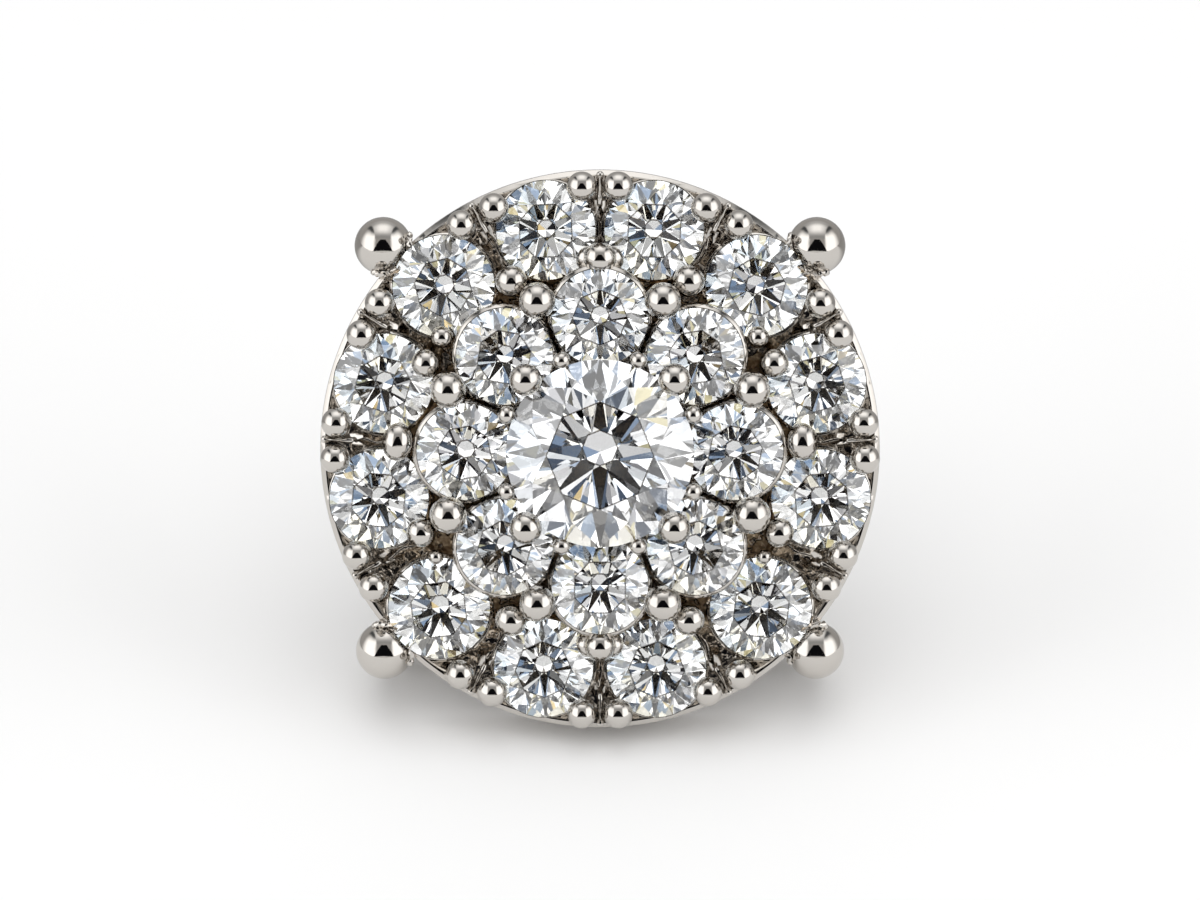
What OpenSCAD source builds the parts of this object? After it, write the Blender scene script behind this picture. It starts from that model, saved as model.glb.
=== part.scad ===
// Cluster stud earring: a centre stone, a ring of eight stones and a ring of twelve, in three
// steps in one soldered setting with beads, ball prongs, four balled corner wires and a post.
// The head is drawn face up, with z = 0 at the girdles of the outer stones, z out of the face
// and y to the top of the face. It is then leaned back, so that the rim and the tip of the post
// stand on the plane z = 0.

/* [Stones] */
// Diameter of the centre stone
centre_dia = 4.04; // [3.6:0.01:4.6]
// Diameter of the eight inner stones
inner_dia = 2.08; // [1.8:0.01:2.3]
// Diameter of eight of the outer stones
outer_dia = 2.14; // [1.8:0.01:2.3]
// Diameter of the four outer stones at the corners
corner_dia = 2.20; // [1.9:0.01:2.4]
// Overhang of the centre stone over the inner stones
centre_overhang = 0.16; // [0.05:0.01:0.25]
// Overhang of the inner stones over the outer stones at the corners
inner_overhang = 0.16; // [0.05:0.01:0.25]
// Smallest gap between neighbours in the inner ring
inner_seam = 0.13; // [0.1:0.01:0.3]
// Smallest gap between neighbours in the outer ring
outer_seam = 0.18; // [0.12:0.01:0.4]
// Clear height between stones that overlap
step_gap = 0.09; // [0.06:0.01:0.2]

/* [Cut of the stones] */
// Width of the table as a share of the diameter
table_share = 0.57; // [0.53:0.01:0.62]
// Angle of the crown's main facets
crown_angle = 34.5; // [32:0.5:36]
// Angle of the pavilion's main facets
pavilion_angle = 40.8; // [40:0.1:42]
// Thickness of the girdle as a share of the diameter
girdle_share = 0.035; // [0.03:0.005:0.05]
// Length of the star facets as a share of the crown's width
star_share = 0.52; // [0.4:0.02:0.6]
// Length of the lower girdle facets as a share of the radius
lower_share = 0.77; // [0.7:0.01:0.85]

/* [Rim and decks] */
// Width of the rim's edge outside the corner stones
rim_lip = 0.06; // [0.05:0.01:0.2]
// Depth of the rim wall behind the girdles of the outer stones
rim_depth = 1.5; // [1.3:0.05:2]
// Narrowing of the rim wall from its edge to its rear
rim_taper = 0.08; // [0.02:0.01:0.15]
// Thickness of the rim wall behind the deck
rim_wall = 0.32; // [0.2:0.01:0.5]
// Thickness of metal behind the culets of the corner stones
deck_floor = 0.05; // [0.04:0.01:0.3]
// Gap between each stone and the metal that holds it
seat_gap = 0.04; // [0.03:0.005:0.06]
// Drop of the metal lips below the middle of the girdles
lip_drop = 0.06; // [0.05:0.005:0.1]
// Width of the lip round an outer stone
outer_lip = 0.075; // [0.06:0.005:0.1]
// Width of the lip round an inner stone
inner_lip = 0.09; // [0.06:0.005:0.12]
// Drop of the floor between the outer stones
web_drop = 0.32; // [0.2:0.01:0.45]
// Drop of the floor between the two rings
floor_drop = 0.55; // [0.46:0.01:0.7]
// Thickness of the ridge between two rim beads
ridge_w = 0.08; // [0.05:0.01:0.12]

/* [Beads and ball prongs] */
// Radius of the beads at the rim
rim_bead_r = 0.29; // [0.24:0.01:0.32]
// Distance of the rim beads inside the edge of the rim
rim_bead_inset = 0.05; // [0.04:0.01:0.12]
// Gap between the two rim beads of a pair
pair_gap = 0.2; // [0.16:0.01:0.3]
// Radius of the beads between the two rings
mid_bead_r = 0.31; // [0.26:0.01:0.34]
// Radius of the ball prongs outside the inner ring
inner_ball_r = 0.375; // [0.34:0.005:0.42]
// Overlap of those ball prongs on the inner stones
inner_ball_bite = 0.02; // [0:0.005:0.06]
// Radius of the four ball prongs on the centre stone
centre_ball_r = 0.35; // [0.3:0.01:0.4]
// Overlap of those ball prongs on the centre stone
centre_ball_bite = 0.12; // [0.06:0.01:0.18]
// Radius of the small beads round the centre stone
small_bead_r = 0.18; // [0.15:0.01:0.2]

/* [Corner wires] */
// Radius of the balls at the corners
corner_ball_r = 0.62; // [0.55:0.01:0.75]
// Distance of the balls' centres outside the rim
corner_out = 0.37; // [0.3:0.01:0.42]
// Angle of the balls from the top and the foot of the face
corner_angle = 46.8; // [42:0.1:50]
// Drop of the balls' centres behind the outer girdles
corner_ball_drop = 0.4; // [0.3:0.05:0.6]
// Diameter of the corner wires
corner_wire_d = 1.0; // [0.94:0.02:1.1]

/* [Post and bridge] */
// Diameter of the ear post
post_d = 0.9; // [0.8:0.05:1.1]
// Reach of the post's tip behind the outer girdles
post_reach = 13.6; // [12:0.1:15]
// Diameter of the boss at the root of the post
boss_d = 2.0; // [1.6:0.1:2.6]
// Diameter of the bridge's four arms
arm_d = 0.7; // [0.6:0.02:0.8]
// Gap between the lower corner wires and the surface under the earring
wire_end_gap = 0.03; // [0.02:0.01:0.06]

/* [Hidden] */
$fn = 64;

metal_colour = [0.80, 0.78, 0.75];
stone_colour = [0.90, 0.94, 0.98];
symmetry = 8;
half_step = 180 / symmetry;

// Half of the outer ring, from the top of the face to its foot: angle from the top, diameter,
// turn of the stone about its own axis
OUTER_STONES = [[13.8, outer_dia, 11], [43.6, corner_dia, 38], [72.8, outer_dia, 24],
    [102.5, outer_dia, 5], [134.6, corner_dia, 30], [165.5, outer_dia, 17]];
// Turns of the inner stones about their own axes, from the top of the face to its foot
INNER_TURN_ANGLES = [0, 13, 34, 7, half_step];
// Half of the pairs of rim beads: angle from the top
SEAMS = [0, 27.5, 60, 87.8, 117.2, 152, 180];
// Half of the beads between the rings: angle from the top, shift outward and radius, both as
// shares of the middle bead's radius
MID_BEADS = [[0, -0.03, 1], [4.8, 0.15, 0.8], [27.5, 0, 1.05], [54.2, 0.2, 0.72],
    [63.2, 0.2, 0.97], [87.4, 0.74, 1], [114.6, 0.35, 0.97], [123, 0.3, 0.5],
    [152.3, 0, 1.05], [175.2, 0, 0.8], [180, 0.25, 0.97]];

inner_count = 8;
outer_count = 2 * len(OUTER_STONES);
function outer_stone_at(i) = i < len(OUTER_STONES) ? OUTER_STONES[i]
    : let (mirrored = OUTER_STONES[outer_count - 1 - i]) [360 - mirrored[0], mirrored[1], -mirrored[2]];
function inner_turn(i) = i < len(INNER_TURN_ANGLES) ? INNER_TURN_ANGLES[i]
    : -INNER_TURN_ANGLES[inner_count - i];
function both_sides(angle) = angle > 0 && angle < 180 ? [-1, 1] : [1];

// Heights of a stone of radius r, measured from the middle of its girdle
function half_girdle(r) = girdle_share * r;
function crown_h(r) = r * (1 - table_share) * tan(crown_angle);
function pavilion_h(r) = r * tan(pavilion_angle);
function star_r(r) = r * (table_share * cos(half_step) + star_share * (1 - table_share * cos(half_step)));
function star_z(r) = half_girdle(r) + crown_h(r) * (r - star_r(r) * cos(half_step)) / (r * (1 - table_share));
function lower_r(r) = r * (1 - lower_share);
function lower_z(r) = -half_girdle(r) - pavilion_h(r) * (1 - (1 - lower_share) * cos(half_step));
crown_slope = (star_z(1) - half_girdle(1)) / (1 - star_r(1));
pavilion_slope = -(lower_z(1) + half_girdle(1)) / lower_share;
function step_up(r, below_r, overhang) = half_girdle(r) + half_girdle(below_r)
    + overhang * (crown_slope + pavilion_slope) + step_gap;

// The rings lie as close as their stones allow
inner_ring_r = max(centre_dia / 2 + inner_dia / 2 - centre_overhang,
    (inner_dia + inner_seam) / 2 / sin(180 / inner_count));
function pair_ring_r(i) = let (a = outer_stone_at(i), b = outer_stone_at((i + 1) % outer_count))
    ((a[1] + b[1]) / 2 + outer_seam) / 2 / sin(abs(((b[0] - a[0]) + 360) % 360) / 2);
outer_ring_r = max(inner_ring_r + inner_dia / 2 + corner_dia / 2 - inner_overhang,
    max([for (i = [0:outer_count - 1]) pair_ring_r(i)]));
inner_rise = step_up(inner_dia / 2, corner_dia / 2,
    max(0, inner_ring_r + inner_dia / 2 + corner_dia / 2 - outer_ring_r));
centre_rise = inner_rise + step_up(centre_dia / 2, inner_dia / 2,
    max(0, centre_dia / 2 + inner_dia / 2 - inner_ring_r));

rim_r = outer_ring_r + max(corner_dia, outer_dia) / 2 + rim_lip;
deck_depth = half_girdle(corner_dia / 2) + pavilion_h(max(corner_dia, outer_dia) / 2) + deck_floor;
rim_bead_ring_r = rim_r - rim_bead_inset - rim_bead_r;
pair_half_angle = asin((rim_bead_r + pair_gap / 2) / rim_bead_ring_r);
mid_ring_r = inner_ring_r + inner_dia / 2 + 0.6 * mid_bead_r;
inner_ball_ring_r = inner_ring_r * cos(half_step)
    + sqrt(pow(inner_dia / 2 + inner_ball_r - inner_ball_bite, 2) - pow(inner_ring_r * sin(half_step), 2));
centre_ball_ring_r = centre_dia / 2 + centre_ball_r - centre_ball_bite;
small_bead_ring_r = centre_dia / 2 + 0.75 * small_bead_r;
corner_x = (rim_r + corner_out) * sin(corner_angle);
corner_y = (rim_r + corner_out) * cos(corner_angle);

// Lean of the head at rest, on the rim's rear edge and the round tip of the post
rear_r = rim_r - rim_taper;
tip_run = post_reach - post_d / 2 - rim_depth;
rest_lean = acos(post_d / 2 / norm([rear_r, tip_run])) - atan2(tip_run, rear_r);
rest_height = rear_r * cos(rest_lean) + rim_depth * sin(rest_lean);
rest_front = (rim_bead_ring_r * sin(rest_lean) + 0.5 * rim_bead_r * cos(rest_lean)) + rim_bead_r;
rest_back = (post_reach - post_d / 2) * cos(rest_lean) + post_d / 2;
// Depth at which the lower corner wires would meet the surface, less their gap
head_depth = rim_depth
    + ((rear_r - corner_y - corner_wire_d / 2) * cos(rest_lean) - wire_end_gap) / sin(rest_lean);
boss_h = 1.15 * arm_d;
overlap = 0.3;
sunk = 0.1;
web_slant = 0.1;

module at_rest() {
    translate([0, (rest_front - rest_back) / 2, rest_height]) rotate([90 - rest_lean, 0, 0]) children();
}

module at_angle(angle, r) {
    rotate(-angle) translate([0, r, 0]) children();
}

function ring_points(r, z, start, count) = [for (k = [0:count - 1])
    let (a = start + 360 * k / count) [r * cos(a), r * sin(a), z]];
// A girdle rises and falls where the flat facets above and below meet its round side
function girdle_points(r, z, dip) = [for (k = [0:4 * symmetry - 1])
    let (a = 90 * k / symmetry) [r * cos(a), r * sin(a), k % 2 == 0 ? z : z - dip]];

module brilliant(dia) {
    r = dia / 2;
    n = symmetry;
    g = half_girdle(r);
    dip = (1 - cos(half_step / 2)) * r;
    points = concat(
        ring_points(table_share * r, g + crown_h(r), 0, n),
        ring_points(star_r(r), star_z(r), half_step, n),
        girdle_points(r, g, 0.9 * crown_slope * dip),
        girdle_points(r, -g, -0.9 * pavilion_slope * dip),
        ring_points(lower_r(r), lower_z(r), half_step, n),
        [[0, 0, -g - pavilion_h(r)]]);
    star = n;
    top = 2 * n;
    bottom = 6 * n;
    lower = 10 * n;
    culet = 11 * n;
    turn = 4 * n;
    faces = concat(
        [[for (k = [n - 1:-1:0]) k]],
        [for (k = [0:n - 1]) [k, (k + 1) % n, star + k]],
        [for (k = [0:n - 1]) [k, star + k, top + 4 * k, star + (k + n - 1) % n]],
        [for (k = [0:n - 1], j = [0:3]) [star + k, top + (4 * k + j + 1) % turn, top + 4 * k + j]],
        [for (k = [0:turn - 1]) [top + k, top + (k + 1) % turn, bottom + (k + 1) % turn, bottom + k]],
        [for (k = [0:n - 1], j = [0:3]) [bottom + 4 * k + j, bottom + (4 * k + j + 1) % turn, lower + k]],
        [for (k = [0:n - 1]) [bottom + 4 * k, lower + k, culet, lower + (k + n - 1) % n]]);
    polyhedron(points, faces, convexity = 4);
}

// Room for one stone with its gap all round, and the light hole behind it
module seat(dia, rise) {
    r = dia / 2;
    g = half_girdle(r);
    crown_top = g + crown_h(r) + seat_gap;
    shoulder_r = r - crown_h(r) / crown_slope + seat_gap;
    light_r = r / 2;
    translate([0, 0, rise])
        rotate_extrude()
            polygon([[0, lower_z(r) * 1.35], [r + seat_gap, -g - seat_gap / 2],
                [r + seat_gap, g + seat_gap / 2], [shoulder_r, crown_top], [0, crown_top]]);
    translate([0, 0, -deck_depth - sunk])
        cylinder(r = light_r, h = deck_depth + sunk + rise - g - (r - light_r) * pavilion_slope);
}

module seats() {
    seat(centre_dia, centre_rise);
    for (i = [0:inner_count - 1])
        at_angle(i * 360 / inner_count, inner_ring_r) seat(inner_dia, inner_rise);
    for (i = [0:outer_count - 1])
        at_angle(outer_stone_at(i)[0], outer_ring_r) seat(outer_stone_at(i)[1], 0);
}

module rim_and_deck() {
    lip_r = rim_r - rim_lip - rim_bead_inset;
    edge_z = -1.2 * lip_drop;
    step_r = outer_ring_r - outer_dia / 4;
    rotate_extrude()
        polygon([[0, -deck_depth], [rear_r - rim_wall, -deck_depth], [rear_r - rim_wall, -rim_depth],
            [rear_r, -rim_depth], [rim_r, edge_z], [lip_r, edge_z], [lip_r, -web_drop],
            [step_r, -web_drop], [step_r - web_slant, -floor_drop], [0, -floor_drop]]);
    intersection() {
        translate([0, 0, -deck_depth]) cylinder(r = rim_r - rim_lip, h = deck_depth);
        for (i = [0:outer_count - 1])
            at_angle(outer_stone_at(i)[0], outer_ring_r) translate([0, 0, -floor_drop - sunk])
                cylinder(r = outer_stone_at(i)[1] / 2 + outer_lip, h = floor_drop + sunk - lip_drop);
    }
    for (a = SEAMS, s = both_sides(a))
        rotate(-s * a) translate([-ridge_w / 2, rim_bead_ring_r - rim_bead_r, -floor_drop])
            cube([ridge_w, rim_bead_r + rim_bead_inset, floor_drop - lip_drop / 2]);
}

module inner_deck() {
    lip_r = inner_dia / 2 + inner_lip;
    lip_z = inner_rise - lip_drop;
    foot_z = -floor_drop - sunk;
    band = inner_dia / 8;
    for (i = [0:inner_count - 1])
        at_angle(i * 360 / inner_count, inner_ring_r) {
            translate([0, 0, lip_z - band]) cylinder(r = lip_r, h = band);
            translate([0, 0, foot_z]) cylinder(r1 = 0.66 * lip_r, r2 = lip_r, h = lip_z - band - foot_z);
        }
    translate([0, 0, foot_z]) cylinder(r = 1.04 * centre_dia / 2, h = lip_z - lip_drop / 2 - foot_z);
    translate([0, 0, foot_z]) cylinder(r = 0.9 * centre_dia / 2, h = centre_rise - 2 * lip_drop - foot_z);
}

module bead(r, z) {
    foot_z = -floor_drop - overlap;
    translate([0, 0, foot_z]) cylinder(r = 0.92 * r, h = z - foot_z);
    translate([0, 0, z]) sphere(r = r);
}

module centre_prong() {
    foot_r = 0.75 * centre_dia / 2;
    foot_z = inner_rise - lip_drop - overlap / 2;
    ball_z = centre_rise + 0.4 * centre_ball_r;
    run = centre_ball_ring_r - foot_r;
    rise = ball_z - foot_z;
    translate([0, foot_r, foot_z]) rotate([-atan2(run, rise), 0, 0])
        cylinder(r = 0.57 * centre_ball_r, h = norm([run, rise]));
    translate([0, centre_ball_ring_r, ball_z]) sphere(r = centre_ball_r);
}

module beads() {
    for (a = SEAMS, s = both_sides(a), t = [-1, 1])
        at_angle(s * a + t * pair_half_angle, rim_bead_ring_r) bead(rim_bead_r, 0.5 * rim_bead_r);
    for (b = MID_BEADS, s = both_sides(b[0]))
        at_angle(s * b[0], mid_ring_r + b[1] * mid_bead_r)
            bead(b[2] * mid_bead_r, (b[2] - 0.5) * mid_bead_r);
    for (i = [0:inner_count - 1])
        at_angle(i * 360 / inner_count + half_step, inner_ball_ring_r)
            bead(inner_ball_r, inner_rise + 0.5 * inner_ball_r);
    for (i = [0:inner_count - 1])
        at_angle(i * 360 / inner_count + half_step, small_bead_ring_r) bead(small_bead_r, centre_rise);
    for (i = [0:3])
        at_angle(45 + 90 * i, 0) centre_prong();
}

module corner_wires() {
    for (x = [-1, 1], y = [-1, 1])
        translate([x * corner_x, y * corner_y, 0]) {
            translate([0, 0, -corner_ball_drop]) sphere(r = corner_ball_r);
            translate([0, 0, -head_depth]) cylinder(d = corner_wire_d, h = head_depth - corner_ball_drop);
        }
}

module bridge_and_post() {
    arm_z = -head_depth + 0.53 * arm_d;
    arm_start = boss_d / 4;
    tip_z = -post_reach + post_d / 2;
    for (x = [-1, 1], y = [-1, 1])
        translate([0, 0, arm_z]) rotate(atan2(y * corner_y, x * corner_x)) rotate([0, 90, 0])
            translate([0, 0, arm_start]) cylinder(d = arm_d, h = norm([corner_x, corner_y]) - arm_start);
    translate([0, 0, -head_depth]) cylinder(d = boss_d, h = boss_h);
    translate([0, 0, tip_z]) rotate_extrude() {
        square([post_d / 2, -head_depth + overlap - tip_z]);
        intersection() {
            circle(d = post_d);
            translate([0, -post_d]) square([post_d, 2 * post_d]);
        }
    }
}

module setting() {
    color(metal_colour) at_rest() difference() {
        union() {
            rim_and_deck();
            inner_deck();
            beads();
            corner_wires();
            bridge_and_post();
        }
        seats();
    }
}

module centre_stone() {
    color(stone_colour) at_rest() translate([0, 0, centre_rise]) brilliant(centre_dia);
}

module inner_stone(i) {
    color(stone_colour) at_rest()
        at_angle(i * 360 / inner_count, inner_ring_r) translate([0, 0, inner_rise])
            rotate(-inner_turn(i)) brilliant(inner_dia);
}

module outer_stone(i) {
    color(stone_colour) at_rest()
        at_angle(outer_stone_at(i)[0], outer_ring_r)
            rotate(-outer_stone_at(i)[2]) brilliant(outer_stone_at(i)[1]);
}

setting();
centre_stone();
for (i = [1:inner_count])
    inner_stone(i - 1);
for (i = [1:outer_count])
    outer_stone(i - 1);
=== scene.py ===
"""Looks of a cluster stud earring: fine polished metal round the faceted stones, on a pale floor."""

import math
import random

import bmesh
import bpy
from mathutils import Matrix, Vector


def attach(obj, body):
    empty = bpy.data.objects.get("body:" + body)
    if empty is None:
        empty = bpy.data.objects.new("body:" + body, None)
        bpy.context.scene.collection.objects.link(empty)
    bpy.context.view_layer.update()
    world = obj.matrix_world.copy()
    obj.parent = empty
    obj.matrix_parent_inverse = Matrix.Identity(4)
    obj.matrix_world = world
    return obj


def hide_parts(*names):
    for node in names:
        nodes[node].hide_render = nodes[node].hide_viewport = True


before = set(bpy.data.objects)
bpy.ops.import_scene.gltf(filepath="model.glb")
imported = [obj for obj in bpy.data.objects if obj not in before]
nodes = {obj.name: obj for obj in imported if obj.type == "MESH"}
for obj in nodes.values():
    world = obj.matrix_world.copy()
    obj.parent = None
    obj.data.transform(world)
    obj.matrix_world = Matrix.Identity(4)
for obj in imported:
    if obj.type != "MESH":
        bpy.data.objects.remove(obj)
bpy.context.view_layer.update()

# ---------------------------------------------------------------- sizes, in millimetres
# The head is drawn face up as in the model's source: z = 0 at the girdles of the outer stones.
CENTRE_DIA, INNER_DIA, OUTER_DIA, CORNER_DIA = 4.04, 2.08, 2.14, 2.20
CENTRE_RISE, INNER_RISE = 0.921362, 0.444581
INNER_RING_R, OUTER_RING_R = 2.9, 4.88
OUTER_STONES = [(13.8, OUTER_DIA), (43.6, CORNER_DIA), (72.8, OUTER_DIA),
                (102.5, OUTER_DIA), (134.6, CORNER_DIA), (165.5, OUTER_DIA)]
SEAMS = [0, 27.5, 60, 87.8, 117.2, 152, 180]
# angle, shift outward and size as shares of the middle bead's radius, width over depth
MID_BEADS = [(0, 0.1, 1.03, 1.05), (27.5, 0, 1.05, 1), (54.2, 0.2, 0.72, 1), (63.2, 0.2, 0.97, 1),
             (87.4, 0.74, 1.02, 1.22), (114.6, 0.35, 0.97, 1), (123, 0.3, 0.5, 1), (152.3, 0, 1.05, 1),
             (180, 0.3, 1, 1)]

TABLE_SHARE, CROWN_ANGLE, GIRDLE_SHARE = 0.57, 34.5, 0.035
STEEP_CROWN, SEAT_SLOPE = 0.6268, 0.92
SEAT_GAP = 0.015

RIM_R, REAR_R, RIM_DEPTH, RIM_WALL, RIM_LIP = 6.04, 5.96, 1.5, 0.32, 0.06
DECK_DEPTH, LIP_DROP, WEB_DROP, FLOOR_DROP, SUNK = 1.03799, 0.06, 0.32, 0.55, 0.1
OUTER_LIP, INNER_LIP = 0.085, 0.095
RIDGE_START, RIDGE_END = RIM_R - 0.11, 5.36
RIDGE_RADII = [0.085, 0.062, 0.056, 0.053, 0.055, 0.06, 0.064]
RIDGE_WALL_W, WEB_SLOT_W, THREAD_R, LAND_W, LAND_L = 0.06, 0.07, 0.036, 0.17, 0.30
SOLDER_R, SOLDER_RING_R, SOLDER_STEPS = 0.066, 0.60, 17
SWELL, RIM_BEAD_SWELL, BEAD_LIFT = 1.07, 1.12, 0.13
RIM_BEAD_R, RIM_BEAD_INSET, PAIR_HALF_ANGLE = 0.29, 0.05, 3.9233
RIM_BEAD_RING_R = RIM_R - RIM_BEAD_INSET - RIM_BEAD_R
SHOULDER_R, LOBE_R, LOBE_SHIFT = 0.27, 0.25, 0.27
MID_BEAD_R, MID_RING_R = 0.31, 4.126
INNER_BALL_R, INNER_BALL_RING_R = 0.375, 3.52448
CENTRE_BALL_R, CENTRE_BALL_RING_R = 0.35, 2.25
SMALL_BEAD_R, SMALL_BEAD_RING_R = 0.18, 2.155
CORNER_BALL_R, CORNER_BALL_DROP, CORNER_WIRE_R = 0.62, 0.4, 0.5
CORNER_X, CORNER_Y = 4.67269, 4.38795
POST_R, POST_REACH, BOSS_R, ARM_R = 0.45, 13.6, 1.0, 0.35
HEAD_DEPTH = 3.71553

LEAN, REST_HEIGHT = 25.1231, 6.03302
REST_SHIFT = (2.8413 - 12.356) / 2
MM = 0.001
# Edges shorter than this are leftovers of the cuts
SLIVER = 0.00001
# Angles of the rings that round off the end of a rod, and how many sides a stone's table has
END_TURNS = (0.35, 0.8, 1.2)
TABLE_SIDES = 8

draw = random.Random(7)

# ---------------------------------------------------------------- mesh helpers


def new_object(name, data):
    piece = bpy.data.objects.new(name, data)
    bpy.context.scene.collection.objects.link(piece)
    return piece


def mesh_of(shape, name):
    """The finished mesh of a shape, which is freed."""
    mesh = bpy.data.meshes.new(name)
    shape.to_mesh(mesh)
    shape.free()
    return mesh


def lathe(profile, segments=48):
    """A closed form turned about z from a profile of (radius, height) that starts and ends on the axis."""
    shape = bmesh.new()
    rings = []
    for radius, height in profile:
        if radius < 1e-9:
            rings.append([shape.verts.new((0, 0, height))])
        else:
            rings.append([shape.verts.new((radius * math.cos(turn), radius * math.sin(turn), height))
                          for turn in (2 * math.pi * k / segments for k in range(segments))])
    for low, high in zip(rings, rings[1:]):
        for k in range(segments):
            n = (k + 1) % segments
            if len(low) == 1:
                shape.faces.new((low[0], high[n], high[k]))
            elif len(high) == 1:
                shape.faces.new((low[k], low[n], high[0]))
            else:
                shape.faces.new((low[k], low[n], high[n], high[k]))
    return mesh_of(shape, "turned")


def arc(radius, height, start, end, steps):
    """Points of an arc round (0, height), by angles from the level plane."""
    turns = [math.radians(start + (end - start) * k / steps) for k in range(steps + 1)]
    return [(max(0.0, radius * math.cos(t)), height + radius * math.sin(t)) for t in turns]


def ball_on_shaft(shaft_r, foot, radius, height, segments=40, steps=14):
    start = -math.degrees(math.acos(min(1.0, shaft_r / radius)))
    return lathe([(0, foot), (shaft_r, foot)] + arc(radius, height, start, 90, steps)[:-1]
                 + [(0, height + radius)], segments)


def cylinder(radius, low, high, segments):
    return lathe([(0, low), (radius, low), (radius, high), (0, high)], segments)


def slab(x_size, y_size, z_size, corner):
    shape = bmesh.new()
    bmesh.ops.create_cube(shape, size=1)
    for point in shape.verts:
        point.co = Vector(((point.co.x + 0.5) * x_size, (point.co.y + 0.5) * y_size,
                           (point.co.z + 0.5) * z_size)) + Vector(corner)
    return mesh_of(shape, "slab")


def at_angle(angle, radius, height=0.0):
    """A place on the face: angle clockwise from the top, distance from the centre, height."""
    return Matrix.Rotation(math.radians(-angle), 4, "Z") @ Matrix.Translation((0, radius, height))


def tube(points, radii, sides=14):
    """A closed round rod through the points, with a radius at each, and round ends."""
    shape = bmesh.new()
    count = len(points)
    points = [Vector(p) for p in points]
    turns = [2 * math.pi * j / sides for j in range(sides)]
    rings = []
    for k, (point, radius) in enumerate(zip(points, radii)):
        along = (points[min(k + 1, count - 1)] - points[max(k - 1, 0)]).normalized()
        across = along.cross(Vector((0, 0, 1)))
        across = (across if across.length > 0.01 else Vector((1, 0, 0))).normalized()
        upward = across.cross(along)
        caps = [(0.0, 1.0)]
        if k == 0:
            caps = [(-math.cos(t), math.sin(t)) for t in END_TURNS] + caps
        if k == count - 1:
            caps = caps + [(math.cos(t), math.sin(t)) for t in reversed(END_TURNS)]
        for shift, width in caps:
            centre = point + along * shift * radius
            rings.append([shape.verts.new(
                centre + (across * math.cos(a) + upward * math.sin(a)) * radius * width) for a in turns])
    for low, high in zip(rings, rings[1:]):
        for j in range(sides):
            n = (j + 1) % sides
            shape.faces.new((low[j], low[n], high[n], high[j]))
    shape.faces.new(rings[0])
    shape.faces.new(rings[-1])
    return mesh_of(shape, "tube")


def gather(placed):
    """One mesh of several (mesh, place) that don't meet each other."""
    whole = bmesh.new()
    for mesh, place in placed:
        part = bmesh.new()
        part.from_mesh(mesh)
        part.transform(place)
        copy = mesh_of(part, "copy")
        whole.from_mesh(copy)
        bpy.data.meshes.remove(copy)
    bmesh.ops.recalc_face_normals(whole, faces=whole.faces)
    return mesh_of(whole, "gathered")


def combine(base, others, operation):
    """The mesh base with each of the others joined to it or cut from it."""
    work = new_object("work", base)
    for other in others:
        tool = new_object("tool", other)
        step = work.modifiers.new("step", "BOOLEAN")
        step.operation, step.solver, step.object = operation, "MANIFOLD", tool
        bpy.context.view_layer.update()
        done = bpy.data.meshes.new_from_object(work.evaluated_get(bpy.context.evaluated_depsgraph_get()))
        work.modifiers.clear()
        work.data = done
        bpy.data.objects.remove(tool)
    result = work.data
    bpy.data.objects.remove(work)
    return result


def one_shell(mesh):
    """The largest closed shell of the mesh, without the specks and slivers that the cuts leave."""
    shape = bmesh.new()
    shape.from_mesh(mesh)
    unseen, shells = set(shape.verts), []
    for start in shape.verts:
        if start in unseen:
            unseen.remove(start)
            shell = [start]
            for point in shell:
                for link in point.link_edges:
                    far = link.other_vert(point)
                    if far in unseen:
                        unseen.remove(far)
                        shell.append(far)
            shells.append(shell)
    specks = sorted(shells, key=len)[:-1]
    bmesh.ops.delete(shape, geom=[point for speck in specks for point in speck], context="VERTS")
    bmesh.ops.dissolve_degenerate(shape, dist=SLIVER, edges=shape.edges)
    shape.to_mesh(mesh)
    shape.free()
    return mesh


def both_sides(angle):
    return (-1, 1) if 0 < angle < 180 else (1,)


def half_girdle(r):
    return GIRDLE_SHARE * r


def crown_h(r):
    return r * (1 - TABLE_SHARE) * math.tan(math.radians(CROWN_ANGLE))


# ---------------------------------------------------------------- metal of the setting
outer_stones = [(side * angle, dia) for angle, dia in OUTER_STONES for side in (-1, 1)]
inner_angles = [45 * k for k in range(8)]
seam_angles = [side * angle for angle in SEAMS for side in both_sides(angle)]
identity = Matrix.Identity(4)


def rim_and_deck():
    lip_r = RIM_R - RIM_LIP - RIM_BEAD_INSET
    step_r = OUTER_RING_R - OUTER_DIA / 4
    ease = 0.03
    edge = [(RIM_R - 0.002, -0.16), (RIM_R - 0.012, -0.105), (lip_r + 0.015, -0.03), (lip_r, -0.02),
            (lip_r - 0.03, -0.025), (lip_r - 0.27, -0.27)]
    profile = [(0, -DECK_DEPTH), (REAR_R - RIM_WALL, -DECK_DEPTH), (REAR_R - RIM_WALL, -RIM_DEPTH),
               (REAR_R - ease, -RIM_DEPTH), (REAR_R, -RIM_DEPTH + ease)] + edge + [
               (step_r, -WEB_DROP - 0.06), (step_r - 0.15, -FLOOR_DROP), (0, -FLOOR_DROP)]
    return lathe(profile, 240)


def lipped_cup(stone_r, outer_r, foot, top):
    """The metal round one stone, with a lip that falls away from it."""
    return lathe([(0, foot), (outer_r, foot), (outer_r, top - 0.12), (outer_r - 0.008, top - 0.055),
                  (outer_r - 0.018, top - 0.04), (stone_r + SEAT_GAP, top), (0, top)], 96)


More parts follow.
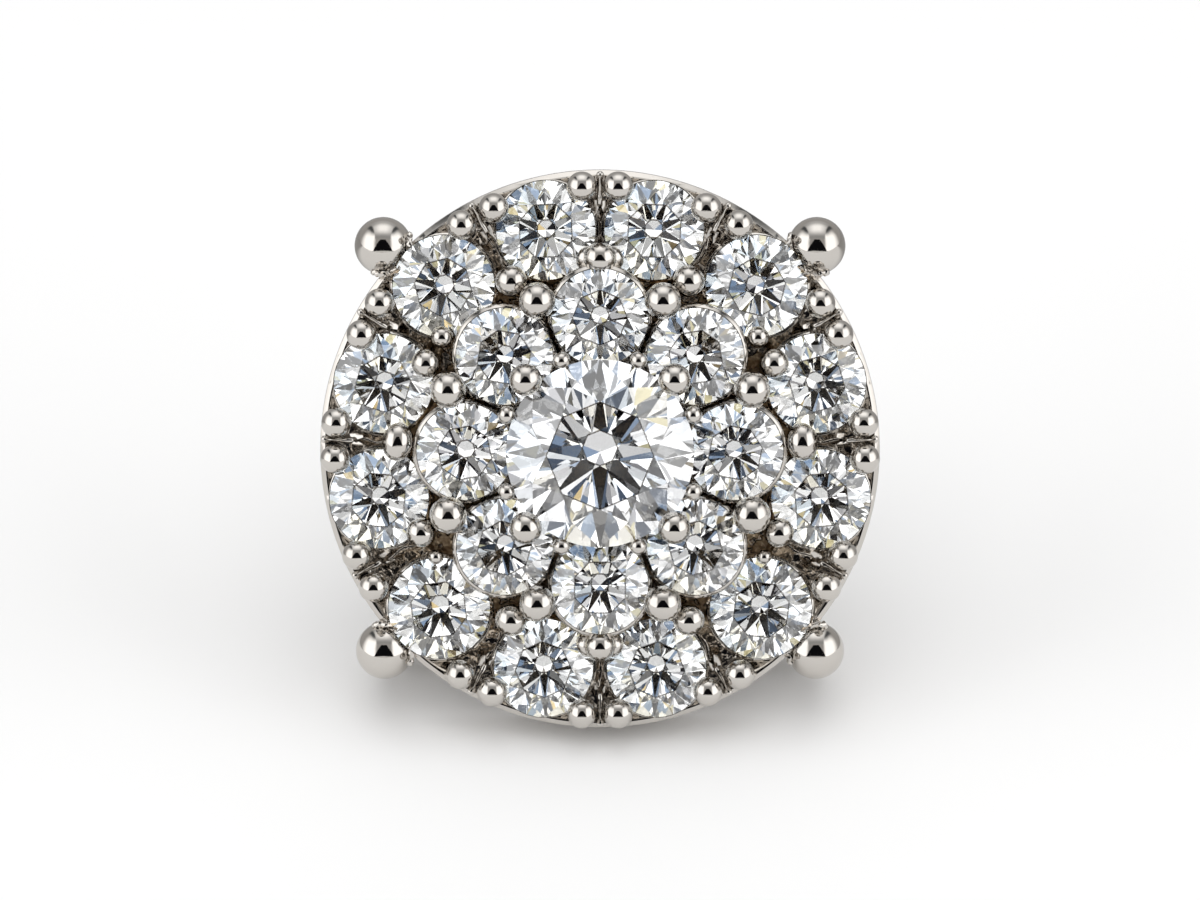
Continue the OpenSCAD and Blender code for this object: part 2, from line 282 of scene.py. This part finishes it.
def outer_collars(which):
    limit = gather([(cylinder(RIM_R - RIM_LIP, -DECK_DEPTH, 0, 240), identity)])
    cups = gather([(lipped_cup(dia / 2, dia / 2 + OUTER_LIP, -FLOOR_DROP - SUNK, -0.02),
                    at_angle(angle, OUTER_RING_R))
                   for k, (angle, dia) in enumerate(sorted(outer_stones)) if k % 2 == which])
    return combine(limit, [cups], "INTERSECT")


def ridges():
    """A low wall between two rim beads with a round top, and a knob at its outer end."""
    placed = []
    steps = len(RIDGE_RADII) - 1
    for angle in seam_angles:
        start, end = RIDGE_START + draw.uniform(-0.01, 0.01), RIDGE_END + draw.uniform(-0.04, 0.04)
        points = [(draw.uniform(-0.01, 0.01), start + (end - start) * k / steps, 0.03 - 0.02 * k)
                  for k in range(steps + 1)]
        placed.append((tube(points, RIDGE_RADII), at_angle(angle, 0)))
    return gather(placed)


def web_threads():
    """A thin bright-cut thread of metal along each web, from the ridge towards the middle bead."""
    placed = []
    for angle in seam_angles:
        lean = draw.choice((-1, 1)) * draw.uniform(0.03, 0.05)
        points = [(lean * math.cos(0.9 * k), 5.14 - 0.1 * k, -0.17 - 0.014 * k) for k in range(8)]
        radii = [THREAD_R + draw.uniform(-0.010, 0.010) for _ in points]
        placed.append((tube(points, radii, 10), at_angle(angle, 0)))
    return gather(placed)


def ridge_walls():
    """The thin wall that carries each ridge."""
    corner = (-RIDGE_WALL_W / 2, RIM_R - 0.62, -0.52)
    return gather([(slab(RIDGE_WALL_W, 0.5, 0.5, corner), at_angle(angle, 0)) for angle in seam_angles])


def inner_collars(which):
    lip_r, lip_z, foot_z = INNER_DIA / 2 + INNER_LIP, INNER_RISE - LIP_DROP, -FLOOR_DROP - SUNK
    band = INNER_DIA / 8
    cup = lathe([(0, foot_z), (0.66 * lip_r, foot_z), (lip_r, lip_z - band), (lip_r, lip_z - 0.08),
                 (lip_r - 0.006, lip_z - 0.03), (lip_r - 0.018, lip_z - 0.01),
                 (INNER_DIA / 2 + SEAT_GAP, lip_z + 0.035), (0, lip_z + 0.035)], 96)
    return gather([(cup, at_angle(angle, INNER_RING_R))
                   for k, angle in enumerate(inner_angles) if k % 2 == which])


def centre_pedestal():
    lip_z, foot_z = INNER_RISE - LIP_DROP, -FLOOR_DROP - SUNK
    r = CENTRE_DIA / 2
    return gather([(lathe([(0, foot_z), (1.04 * r, foot_z), (1.04 * r, lip_z - LIP_DROP / 2),
                           (0.9 * r, lip_z - LIP_DROP / 2), (0.9 * r, CENTRE_RISE - 2 * LIP_DROP),
                           (0, CENTRE_RISE - 2 * LIP_DROP)], 160), identity)])


def bead(radius, height):
    """A round bead on its shaft, a little uneven, as pushed over by hand."""
    radius *= SWELL
    shape = ball_on_shaft(0.92 * radius, -FLOOR_DROP - 0.3, radius, height)
    uneven = [1 + draw.uniform(-0.025, 0.025) for _ in range(2)]
    shape.transform(Matrix.Rotation(draw.uniform(0, math.pi), 4, "Z")
                    @ Matrix.Diagonal((uneven[0], uneven[1], 1, 1)))
    return shape


def rim_beads():
    """Beads whose thick shafts lean out into the rim wall and swell a little past it."""
    foot_z, foot_out = -0.95, -0.02
    placed = []
    for angle in seam_angles:
        for turn in (-1, 1):
            top = 0.5 * RIM_BEAD_R + BEAD_LIFT + draw.uniform(-0.02, 0.02)
            shape = ball_on_shaft(0.98 * RIM_BEAD_R, 0, RIM_BEAD_SWELL * RIM_BEAD_R, top - foot_z)
            shape.transform(Matrix.Diagonal((1 + draw.uniform(-0.03, 0.03), 1, 1, 1)))
            foot = at_angle(angle + turn * PAIR_HALF_ANGLE, RIM_BEAD_RING_R + foot_out, foot_z)
            lean = Matrix.Rotation(math.atan2(foot_out, top - foot_z), 4, "X")
            placed.append((shape, foot @ lean))
    return gather(placed)


def rim_shoulders():
    """Metal that the graver pushed up from the edge behind each rim bead."""
    hump = ball_on_shaft(SHOULDER_R, 0, SHOULDER_R, 0.55, 28, 10)
    lean = Matrix.Rotation(math.radians(5), 4, "X")
    return gather([(hump, at_angle(angle + turn * PAIR_HALF_ANGLE, RIM_BEAD_RING_R + 0.03, -0.64) @ lean)
                   for angle in seam_angles for turn in (-1, 1)])


def mid_beads():
    return gather([(bead(size * MID_BEAD_R, (size - 0.5) * MID_BEAD_R + BEAD_LIFT),
                    at_angle(side * angle, MID_RING_R + out * MID_BEAD_R)
                    @ Matrix.Diagonal((width, 1, 1, 1)))
                   for angle, out, size, width in MID_BEADS for side in both_sides(angle)])


def bead_lobes(turn):
    """Half of a wider bead behind the ones at the top and the foot, where more metal was pushed up."""
    return gather([(bead(LOBE_R, 0.06), Matrix.Rotation(math.radians(angle), 4, "Z")
                    @ Matrix.Translation((turn * LOBE_SHIFT, MID_RING_R + out, 0)))
                   for angle, out in ((0, 0.02), (180, 0.09))])


def solder_collars():
    """A rough crescent of solder on the inner side of each corner ball."""
    placed = []
    for x in (-1, 1):
        for y in (-1, 1):
            inward = math.atan2(-y * CORNER_Y, -x * CORNER_X)
            points, radii = [], []
            for k in range(2 * SOLDER_STEPS + 1):
                t = -1 + k / SOLDER_STEPS
                turn = inward + math.radians(66 * t)
                ring = SOLDER_RING_R + draw.uniform(-0.02, 0.02)
                points.append((x * CORNER_X + ring * math.cos(turn), y * CORNER_Y + ring * math.sin(turn),
                               0.06 - 0.22 * t * t + draw.uniform(-0.015, 0.015)))
                radii.append(SOLDER_R + draw.uniform(-0.018, 0.018))
            crust = tube(points, radii)
            for point in crust.vertices:
                point.co += Vector([draw.uniform(-0.012, 0.012) for _ in range(3)])
            placed.append((crust, identity))
    return gather(placed)


def seam_lands():
    """The small bright lands left and right of the inner end of each ridge, as a list of (mesh, place)."""
    placed = []
    for angle in seam_angles:
        for turn in (-1, 1):
            wedge = slab(LAND_W, LAND_L, 0.5, (-LAND_W / 2, -LAND_L / 2, -0.5))
            place = Matrix.Translation((turn * draw.uniform(0.10, 0.13),
                                        5.24 + draw.uniform(-0.03, 0.03), -0.10))
            tilt = (Matrix.Rotation(math.radians(draw.uniform(-40, -28)), 4, "X")
                    @ Matrix.Rotation(turn * 0.35, 4, "Z"))
            placed.append((wedge, at_angle(angle, 0) @ place @ tilt))
    return placed


def web_slots():
    """Narrow grooves in the webs between the inner stones."""
    return gather([(slab(WEB_SLOT_W, 1.3, 0.5, (-WEB_SLOT_W / 2, 2.25, -0.02)), at_angle(angle + 22.5, 0))
                   for angle in inner_angles])


def inner_balls():
    return gather([(bead(INNER_BALL_R, INNER_RISE + 0.5 * INNER_BALL_R + 0.6 * BEAD_LIFT),
                    at_angle(angle + 22.5, INNER_BALL_RING_R)) for angle in inner_angles])


def small_beads():
    return gather([(bead(SMALL_BEAD_R, CENTRE_RISE), at_angle(angle + 22.5, SMALL_BEAD_RING_R))
                   for angle in inner_angles])


def centre_prongs():
    foot_r, foot_z = 0.75 * CENTRE_DIA / 2, INNER_RISE - LIP_DROP - 0.15
    run, rise = CENTRE_BALL_RING_R - foot_r, CENTRE_RISE + 0.4 * CENTRE_BALL_R - foot_z
    length = math.hypot(run, rise)
    prong = ball_on_shaft(0.57 * CENTRE_BALL_R, 0, CENTRE_BALL_R, length, 48, 18)
    lean = Matrix.Rotation(-math.atan2(run, rise), 4, "X")
    return gather([(prong, at_angle(45 + 90 * k, foot_r, foot_z) @ lean) for k in range(4)])


def corner_wires():
    start = -math.degrees(math.acos(CORNER_WIRE_R / CORNER_BALL_R))
    rear = [(0, -HEAD_DEPTH)] + [(share * CORNER_WIRE_R, -HEAD_DEPTH + ahead)
                                 for share, ahead in ((0.72, 0), (0.78, 0.015), (0.81, 0.05))]
    wire = lathe(rear + arc(CORNER_BALL_R, -CORNER_BALL_DROP, start, 90, 30)[:-1]
                 + [(0, CORNER_BALL_R - CORNER_BALL_DROP)], 72)
    return gather([(wire, Matrix.Translation((x * CORNER_X, y * CORNER_Y, 0)))
                   for x in (-1, 1) for y in (-1, 1)])


def bridge_arms(side):
    arm_z = -HEAD_DEPTH + 0.53 * 2 * ARM_R
    reach = math.hypot(CORNER_X, CORNER_Y)
    rod = cylinder(ARM_R, -reach, reach, 40)
    turn = (Matrix.Rotation(math.atan2(side * CORNER_Y, CORNER_X), 4, "Z")
            @ Matrix.Rotation(math.pi / 2, 4, "Y"))
    return gather([(rod, Matrix.Translation((0, 0, arm_z)) @ turn)])


def boss_and_post():
    tip_z = -POST_REACH + POST_R
    top = -HEAD_DEPTH + 1.15 * 2 * ARM_R
    ease = 0.12
    profile = arc(POST_R, tip_z, -90, 0, 12) + [(POST_R, -HEAD_DEPTH - 0.12), (POST_R + 0.1, -HEAD_DEPTH)]
    profile += [(BOSS_R - ease, -HEAD_DEPTH)] + [(BOSS_R - ease + x, y) for x, y in
                                                 arc(ease, -HEAD_DEPTH + ease, -90, 0, 5)[1:]]
    profile += [(BOSS_R, top - 0.05), (BOSS_R - 0.05, top), (0, top)]
    return gather([(lathe(profile, 72), identity)])


def seat(dia, rise):
    """Room for one stone, and the light hole behind it."""
    r = dia / 2
    g = half_girdle(r)
    top = g + crown_h(r) + SEAT_GAP
    shoulder_r = r - crown_h(r) / STEEP_CROWN + SEAT_GAP
    light_r = r / 2
    light_z = -g - (r - light_r) * SEAT_SLOPE - SEAT_GAP
    foot = -DECK_DEPTH - SUNK - rise
    return lathe([(0, foot), (light_r, foot), (light_r, light_z), (r + SEAT_GAP, -g - SEAT_GAP / 2),
                  (r + SEAT_GAP, g + SEAT_GAP / 2), (shoulder_r, top), (0, top)], 96)


def seats():
    ordered = sorted(outer_stones)
    groups = [[(seat(CENTRE_DIA, CENTRE_RISE), at_angle(0, 0, CENTRE_RISE))]]
    for which in (0, 1):
        groups.append([(seat(INNER_DIA, INNER_RISE), at_angle(angle, INNER_RING_R, INNER_RISE))
                       for k, angle in enumerate(inner_angles) if k % 2 == which])
        groups.append([(seat(dia, 0), at_angle(angle, OUTER_RING_R))
                       for k, (angle, dia) in enumerate(ordered) if k % 2 == which])
    return [gather(group) for group in groups]


def setting_mesh():
    metal = gather([(rim_and_deck(), identity)])
    metal = combine(metal, [outer_collars(0), outer_collars(1), ridge_walls(), ridges(), inner_collars(0),
                            inner_collars(1)], "UNION")
    metal = combine(metal, [web_slots()], "DIFFERENCE")
    lands = seam_lands()
    metal = combine(metal, [centre_pedestal(), web_threads(), gather(lands[::2]), gather(lands[1::2]),
                            rim_shoulders(), rim_beads(), bead_lobes(-1), bead_lobes(1), mid_beads(),
                            inner_balls(), small_beads(), centre_prongs(), corner_wires(), solder_collars(),
                            bridge_arms(1), bridge_arms(-1), boss_and_post()], "UNION")
    metal = one_shell(combine(metal, seats(), "DIFFERENCE"))
    metal.transform(head_to_row @ Matrix.Diagonal((MM, MM, MM, 1)))
    metal.shade_smooth()
    metal.set_sharp_from_angle(angle=math.radians(32))
    return metal


head_to_row = (Matrix.Translation((0, REST_SHIFT * MM, REST_HEIGHT * MM))
               @ Matrix.Rotation(math.radians(90 - LEAN), 4, "X"))
setting = new_object("setting_metal", setting_mesh())

# ---------------------------------------------------------------- materials


class Nodes:
    """Short calls for the node trees below."""

    def __init__(self, tree):
        self.tree = tree

    def add(self, kind, **settings):
        node = self.tree.nodes.new(kind)
        for key, value in settings.items():
            setattr(node, key, value)
        return node

    def put(self, target, value):
        if isinstance(value, bpy.types.NodeSocket):
            self.tree.links.new(value, target)
        elif value is not None:
            target.default_value = value

    def math(self, operation, a, b=None):
        node = self.add("ShaderNodeMath", operation=operation)
        self.put(node.inputs[0], a)
        self.put(node.inputs[1], b)
        return node.outputs[0]

    def split(self, vector):
        """The x, y and z of a vector."""
        node = self.add("ShaderNodeSeparateXYZ")
        self.put(node.inputs[0], vector)
        return node.outputs

    def vector(self, operation, a, b=None, scale=None, out=0):
        node = self.add("ShaderNodeVectorMath", operation=operation)
        self.put(node.inputs[0], a)
        self.put(node.inputs[1], b)
        if scale is not None:
            self.put(node.inputs["Scale"], scale)
        return node.outputs[out]

    def step(self, value, low, high, out_low=0.0, out_high=1.0):
        """Smooth change from out_low to out_high as value goes from low to high."""
        node = self.add("ShaderNodeMapRange", interpolation_type="SMOOTHSTEP")
        for key, item in (("Value", value), ("From Min", low), ("From Max", high),
                          ("To Min", out_low), ("To Max", out_high)):
            self.put(node.inputs[key], item)
        return node.outputs[0]

    def bands(self, value, stops):
        """A level that passes smoothly through the (value, level) stops."""
        level = stops[0][1]
        for (low, from_level), (high, to_level) in zip(stops, stops[1:]):
            level = self.math("ADD", level, self.step(value, low, high, 0.0, to_level - from_level))
        return level

    def noise(self, where, scale, detail=2.0, rough=0.5):
        node = self.add("ShaderNodeTexNoise")
        self.put(node.inputs["Vector"], where)
        self.put(node.inputs["Scale"], scale)
        self.put(node.inputs["Detail"], detail)
        self.put(node.inputs["Roughness"], rough)
        return node.outputs[0]

    def mix(self, share, a, b):
        node = self.add("ShaderNodeMix", data_type="RGBA")
        self.put(node.inputs[0], share)
        self.put(node.inputs[6], a)
        self.put(node.inputs[7], b)
        return node.outputs[2]


def material(name):
    made = bpy.data.materials.new(name)
    made.use_nodes = True
    shader = made.node_tree.nodes["Principled BSDF"]
    return made, Nodes(made.node_tree), shader


def white_gold():
    made, n, shader = material("white_gold")
    # Millimetres on the upright face, as the sizes above
    face = n.add("ShaderNodeMapping", vector_type="TEXTURE")
    n.put(face.inputs["Vector"], n.add("ShaderNodeTexCoord").outputs["Object"])
    face.inputs["Location"].default_value = (0.0, REST_SHIFT * MM, REST_HEIGHT * MM)
    face.inputs["Rotation"].default_value = (math.radians(90 - LEAN), 0.0, 0.0)
    face.inputs["Scale"].default_value = (MM, MM, MM)
    where = face.outputs[0]
    height = n.split(where)[2]
    flat = n.vector("MULTIPLY", where, (1.0, 1.0, 0.0))
    radius = n.vector("LENGTH", flat, out=1)
    # The floors between the stones are painted dark brown, a painted shade in the recesses; they are also
    # rougher and bumpier, dull where no polishing wheel reaches
    level = n.step(radius, 3.95, 4.15, INNER_RISE - LIP_DROP, -LIP_DROP)
    depth = n.math("SUBTRACT", level, height)
    uneven = n.math("MULTIPLY", n.math("SUBTRACT", n.noise(where, 2.6, 3.0), 0.5), 0.18)
    recess = n.step(n.math("ADD", depth, uneven), 0.13, 0.38)
    inside = n.step(radius, RIM_R - 0.30, RIM_R - 0.50)
    front = n.step(height, -FLOOR_DROP - 0.30, -FLOOR_DROP - 0.12)
    recess = n.math("MULTIPLY", n.math("MULTIPLY", recess, inside), front)
    recess = n.math("MULTIPLY", recess, n.step(n.noise(where, 4.2, 2.0), 0.60, 0.50, 0.25, 1.0))
    # Round each corner ball the solder crescent gets the same painted shade colour, and the rough bumpy
    # finish of solder
    corner = n.vector("DISTANCE", n.vector("MULTIPLY", n.vector("ABSOLUTE", where), (1.0, 1.0, 0.0)),
                      (CORNER_X, CORNER_Y, 0.0), out=1)
    solder_crust_shade = n.math("MULTIPLY", n.step(corner, 0.55, 0.60), n.step(corner, 0.82, 0.72))
    solder_crust_shade = n.math("MULTIPLY", solder_crust_shade, n.step(radius, RIM_R - 0.05, RIM_R - 0.25))
    solder_crust_shade = n.math("MULTIPLY", solder_crust_shade, n.step(n.noise(where, 9.0, 3.0), 0.36, 0.52))
    recess = n.math("MAXIMUM", recess, solder_crust_shade)
    polished = n.mix(n.noise(where, 0.7, 2.0), (0.60, 0.575, 0.54, 1), (0.55, 0.52, 0.485, 1))
    # Painted shade: light tan to dark brown, laid into the recesses and the solder crescents
    painted_recess_shade = n.mix(n.noise(where, 5.0, 4.0), (0.82, 0.67, 0.49, 1), (0.24, 0.17, 0.10, 1))
    n.put(shader.inputs["Base Color"], n.mix(recess, polished, painted_recess_shade))
    shader.inputs["Metallic"].default_value = 1.0
    smear = n.noise(n.vector("MULTIPLY", where, (1.0, 6.0, 2.0)), 1.6, 4.0)
    sheen = n.step(smear, 0.3, 0.75, 0.045, 0.10)
    n.put(shader.inputs["Roughness"], n.math("ADD", sheen, n.math("MULTIPLY", recess, 0.26)))
    fine = n.math("ADD", n.math("MULTIPLY", n.noise(where, 9.0, 3.0), 0.008),
                  n.math("MULTIPLY", recess, n.noise(where, 4.5, 2.0)))
    bump = n.add("ShaderNodeBump")
    bump.inputs["Strength"].default_value = 1.0
    bump.inputs["Distance"].default_value = 0.00012
    n.put(bump.inputs["Height"], fine)
    n.put(shader.inputs["Normal"], bump.outputs[0])
    return made


def table_of(stone):
    """A stone's table: its centre, the ways to one corner, across and out, and the corner radius."""
    out = (head_to_row.to_3x3() @ Vector((0, 0, 1))).normalized()
    corners = sorted({tuple(round(c, 7) for c in stone.data.vertices[k].co) for polygon in stone.data.polygons
                      if polygon.normal.dot(out) > 0.9999 for k in polygon.vertices})
    centre = sum((Vector(c) for c in corners), Vector()) / len(corners)
    toward = Vector(corners[0]) - centre
    return centre, toward.normalized(), out.cross(toward).normalized(), out, toward.length


def painted_fire_and_edge_group():
    """Shared by the stones: painted fire, a faint tint from facet to facet, and a painted dark line round the
    table's edge standing in for its dark reflection.
    """
    tree = bpy.data.node_groups.new("painted_fire_and_edge", "ShaderNodeTree")
    for name, kind in (("Centre", "Vector"), ("Toward", "Vector"), ("Across", "Vector"), ("Out", "Vector"),
                       ("Corner Radius", "Float"), ("Tint", "Color"), ("Cool", "Color"), ("Warm", "Color"),
                       ("Line", "Color")):
        tree.interface.new_socket(name, in_out="INPUT", socket_type="NodeSocket" + kind)
    tree.interface.new_socket("Color", in_out="OUTPUT", socket_type="NodeSocketColor")
    n = Nodes(tree)
    given = n.add("NodeGroupInput").outputs
    normal = n.add("ShaderNodeNewGeometry").outputs["True Normal"]
    # Painted fire: each facet's colour turns cool or warm at random, standing in for dispersed coloured light
    play = n.noise(normal, 2.3, 1.0)
    colour = n.mix(n.step(play, 0.56, 0.66), given["Tint"], given["Cool"])
    colour = n.mix(n.step(play, 0.44, 0.36), colour, given["Warm"])
    # Painted shade: a thin dark line along the table's edge, standing in for the dark reflection there
    place = n.vector("SUBTRACT", n.add("ShaderNodeTexCoord").outputs["Object"], given["Centre"])
    x = n.vector("DOT_PRODUCT", place, given["Toward"], out=1)
    y = n.vector("DOT_PRODUCT", place, given["Across"], out=1)
    height = n.vector("DOT_PRODUCT", place, given["Out"], out=1)
    half_side = math.pi / TABLE_SIDES
    turn = n.math("MODULO", n.math("ADD", n.math("ARCTAN2", y, x), 2 * math.pi), 2 * half_side)
    radius = n.math("SQRT", n.math("ADD", n.math("MULTIPLY", x, x), n.math("MULTIPLY", y, y)))
    reach = n.math("MULTIPLY", radius, n.math("COSINE", n.math("SUBTRACT", turn, half_side)))
    edge = n.math("MULTIPLY", given["Corner Radius"], math.cos(half_side))
    off = n.math("ABSOLUTE", n.math("SUBTRACT", reach, edge))
    line = n.math("MULTIPLY", n.step(off, 0.024 * MM, 0.011 * MM), n.step(height, -0.06 * MM, -0.04 * MM))
    n.put(n.add("NodeGroupOutput").inputs["Color"], n.mix(line, colour, given["Line"]))
    return tree


def clear_stone(name, tint, flash, table):
    """Clear cut stone with its own table, a tint, and how far its facets' colour is painted cool and warm as
    painted fire.
    """
    made, n, shader = material(name)
    play = n.add("ShaderNodeGroup", node_tree=painted_fire_and_edge)
    for key, value in zip(("Centre", "Toward", "Across", "Out", "Corner Radius"), table):
        play.inputs[key].default_value = value
    play.inputs["Tint"].default_value = (*tint, 1)
    # Painted fire colours: the cool and warm tints that facets take at random
    play.inputs["Cool"].default_value = (tint[0] * (1 - flash), tint[1] * (1 - 0.5 * flash), tint[2], 1)
    play.inputs["Warm"].default_value = (tint[0], tint[1] * (1 - 0.25 * flash), tint[2] * (1 - flash), 1)
    # The colour of the painted dark line round the table
    play.inputs["Line"].default_value = (0.035, 0.03, 0.025, 1)
    n.put(shader.inputs["Base Color"], play.outputs["Color"])
    shader.inputs["Roughness"].default_value = 0.0
    shader.inputs["IOR"].default_value = 2.417
    shader.inputs["Transmission Weight"].default_value = 1.0
    return made


setting.data.materials.clear()
setting.data.materials.append(white_gold())
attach(setting, "root")
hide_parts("setting")

painted_fire_and_edge = painted_fire_and_edge_group()
STONE_LOOKS = {"centre_stone": ((0.985, 0.99, 1.0), 0.22), "inner_stone": ((0.98, 0.985, 0.985), 0.25),
               "outer_stone": ((0.97, 0.975, 0.965), 0.28)}
for name, node in nodes.items():
    for family, (tint, flash) in STONE_LOOKS.items():
        if name.startswith(family):
            node.data.materials.clear()
            node.data.materials.append(clear_stone("clear_" + name, tint, flash, table_of(node)))
            for polygon in node.data.polygons:
                polygon.use_smooth = False

# ---------------------------------------------------------------- floor, light and camera
VIEW_ELEVATION = LEAN + 4.5
FRAME_HEIGHT = 19.4 * MM
LENS, SENSOR_WIDTH = 180.0, 36.0
IMAGE_WIDTH, IMAGE_HEIGHT = 1200, 900
# Where the lamp hangs, in metres
LAMP_Y, LAMP_Z = -0.45, 0.7


def floor():
    made, n, shader = material("pale_floor")
    where = n.vector("SCALE", n.add("ShaderNodeTexCoord").outputs["Object"], scale=1000.0)
    pale = n.mix(n.noise(where, 0.05, 2.0), (0.90, 0.90, 0.90, 1), (0.915, 0.915, 0.915, 1))
    # Metal edges mirror the surface far behind the earring; for mirror rays only, the floor there is painted
    # dark grey, a painted reflection of shade
    glossy = n.add("ShaderNodeLightPath").outputs["Is Glossy Ray"]
    painted_reflection_shade = n.math("MULTIPLY", n.step(n.split(where)[1], -2.0, 12.0), glossy)
    n.put(shader.inputs["Base Color"], n.mix(painted_reflection_shade, pale, (0.36, 0.355, 0.35, 1)))
    shader.inputs["Roughness"].default_value = 0.9
    shader.inputs["Specular IOR Level"].default_value = 0.0
    shape = bmesh.new()
    bmesh.ops.create_circle(shape, cap_ends=True, segments=64, radius=3.0)
    mesh = mesh_of(shape, "floor")
    mesh.materials.append(made)
    new_object("floor", mesh)


def studio():
    """Soft boxes left and right, a bright cloth overhead and a dark card in front, as one surround."""
    world = bpy.data.worlds.new("studio")
    bpy.context.scene.world = world
    world.use_nodes = True
    n = Nodes(world.node_tree)
    out = world.node_tree.nodes["World Output"]
    background = world.node_tree.nodes["Background"]
    where = n.add("ShaderNodeTexCoord").outputs["Generated"]
    tilt = math.radians(VIEW_ELEVATION)
    side = n.vector("DOT_PRODUCT", where, (1.0, 0.0, 0.0), out=1)
    ahead = n.vector("DOT_PRODUCT", where, (0.0, -math.cos(tilt), math.sin(tilt)), out=1)
    above = n.vector("DOT_PRODUCT", where, (0.0, math.sin(tilt), math.cos(tilt)), out=1)

    def degrees(value):
        return n.math("MULTIPLY", value, 180 / math.pi)

    azimuth = n.math("ABSOLUTE", degrees(n.math("ARCTAN2", side, ahead)))
    height = degrees(n.math("ARCSINE", above))
    arch = degrees(n.math("ARCTAN2", above, ahead))
    lateral = n.math("ABSOLUTE", degrees(n.math("ARCSINE", side)))

    def both(*masks):
        total = masks[0]
        for mask in masks[1:]:
            total = n.math("MULTIPLY", total, mask)
        return total

    scrim = both(n.step(lateral, 33.0, 27.0), n.step(arch, 27.0, 30.0), n.step(arch, 125.0, 108.0))
    scrim_light = n.math("ADD", 0.42, both(n.step(arch, 34.0, 70.0), n.step(arch, 108.0, 80.0, 0.2, 1.0),
                                         n.step(lateral, 34.0, 6.0, 0.35, 1.0), 1.2))
    gap = both(n.step(lateral, 26.0, 33.0), n.step(lateral, 46.0, 38.0), n.step(height, 16.0, 28.0),
               n.step(arch, 120.0, 100.0))
    box = both(n.step(azimuth, 27.0, 42.0), n.step(azimuth, 108.0, 74.0), n.step(height, -21.6, -20.0),
               n.step(height, 54.0, 28.0))
    half_width = n.math("SUBTRACT", 43.0, n.math("MULTIPLY", n.math("ADD", height, 22.6), 0.68))
    card = both(n.step(n.math("SUBTRACT", half_width, azimuth), 0.0, 1.2), n.step(height, -22.8, -22.3),
                n.step(height, 24.0, 22.8))
    table = n.step(height, -22.4, -22.8)

    light = n.mix(gap, (0.46, 0.45, 0.44, 1), (0.10, 0.105, 0.11, 1))
    light = n.mix(box, light, (1.9, 1.9, 1.9, 1))
    cloth = n.add("ShaderNodeCombineColor")
    for socket in cloth.inputs[:3]:
        n.put(socket, scrim_light)
    light = n.mix(scrim, light, cloth.outputs[0])
    light = n.mix(card, light, (0.006, 0.006, 0.007, 1))
    light = n.mix(table, light, (0.85, 0.84, 0.83, 1))
    path = n.add("ShaderNodeLightPath")
    # What the cut stones show: rings of light round the dark camera, broken up by tinted and dark cards
    off_axis = degrees(n.math("ARCCOSINE", ahead))
    ring = n.bands(off_axis, [(0, 0.01), (12.5, 0.012), (16, 1.0), (25, 2.2), (34, 1.4), (42, 2.2), (56, 1.9),
                              (68, 0.7), (82, 0.4), (100, 0.2)])
    axes = n.add("ShaderNodeCombineXYZ")
    for socket, value in zip(axes.inputs, (side, above, ahead)):
        n.put(socket, value)
    cards = n.add("ShaderNodeTexVoronoi", feature="F1")
    n.put(cards.inputs["Vector"], n.vector("ADD", axes.outputs[0], (12.4, 12.4, 12.4)))
    cards.inputs["Scale"].default_value = 9.0
    cards.inputs["Randomness"].default_value = 1.0
    pick = n.add("ShaderNodeSeparateColor")
    n.put(pick.inputs[0], cards.outputs["Color"])
    shade = n.mix(n.step(pick.outputs[1], 0.22, 0.23), (0.30, 0.30, 0.31, 1), (1.0, 1.0, 1.0, 1))
    shade = n.mix(n.step(pick.outputs[2], 0.12, 0.11), shade, (0.012, 0.012, 0.014, 1))
    tint = n.mix(n.step(pick.outputs[0], 0.17, 0.16), (1.0, 1.0, 1.0, 1), (0.24, 0.31, 0.42, 1))
    tint = n.mix(n.step(pick.outputs[0], 0.89, 0.90), tint, (0.37, 0.34, 0.22, 1))
    tint = n.mix(n.step(pick.outputs[0], 0.988, 0.989), tint, (0.42, 0.33, 0.18, 1))
    strength = n.add("ShaderNodeCombineXYZ")
    for socket in strength.inputs:
        n.put(socket, n.math("MULTIPLY", ring, n.step(pick.outputs[0], 0.0, 1.0, 0.75, 1.25)))
    glow = n.vector("MULTIPLY", n.vector("MULTIPLY", shade, tint), strength.outputs[0])
    n.put(background.inputs[0], n.mix(path.outputs["Is Transmission Ray"], light, glow))
    backdrop = n.add("ShaderNodeBackground")
    backdrop.inputs[0].default_value = (0.9, 0.9, 0.9, 1)
    choose = n.add("ShaderNodeMixShader")
    n.put(choose.inputs[0], path.outputs["Is Camera Ray"])
    n.put(choose.inputs[1], background.outputs[0])
    n.put(choose.inputs[2], backdrop.outputs[0])
    n.put(out.inputs[0], choose.outputs[0])


def lamp():
    """A large soft lamp over the floor in front, kept out of the mirror images in the metal."""
    data = bpy.data.lights.new("lamp", "AREA")
    data.shape, data.size, data.energy = "DISK", 0.7, 2.1
    source = new_object("lamp", data)
    source.matrix_world = (Matrix.Translation((0, LAMP_Y, LAMP_Z))
                           @ Matrix.Rotation(math.atan2(-LAMP_Y, LAMP_Z), 4, "X"))
    source.visible_glossy = source.visible_transmission = source.visible_camera = False


def camera():
    data = bpy.data.cameras.new("camera")
    data.lens, data.sensor_width = LENS, SENSOR_WIDTH
    distance = LENS * (FRAME_HEIGHT * IMAGE_WIDTH / IMAGE_HEIGHT) / SENSOR_WIDTH
    data.clip_start, data.clip_end = 0.005, 20.0
    eye = new_object("camera", data)
    turn = Matrix.Rotation(math.radians(90 - VIEW_ELEVATION), 4, "X")
    target = head_to_row @ Vector((0, 0, 0))
    eye.matrix_world = Matrix.Translation(target + turn @ Vector((0, 0, distance))) @ turn
    bpy.context.scene.camera = eye


floor()
studio()
lamp()
camera()
scene = bpy.context.scene
scene.view_settings.view_transform = "Standard"
scene.cycles.max_bounces = 10
scene.cycles.transmission_bounces = 10
scene.cycles.glossy_bounces = 6
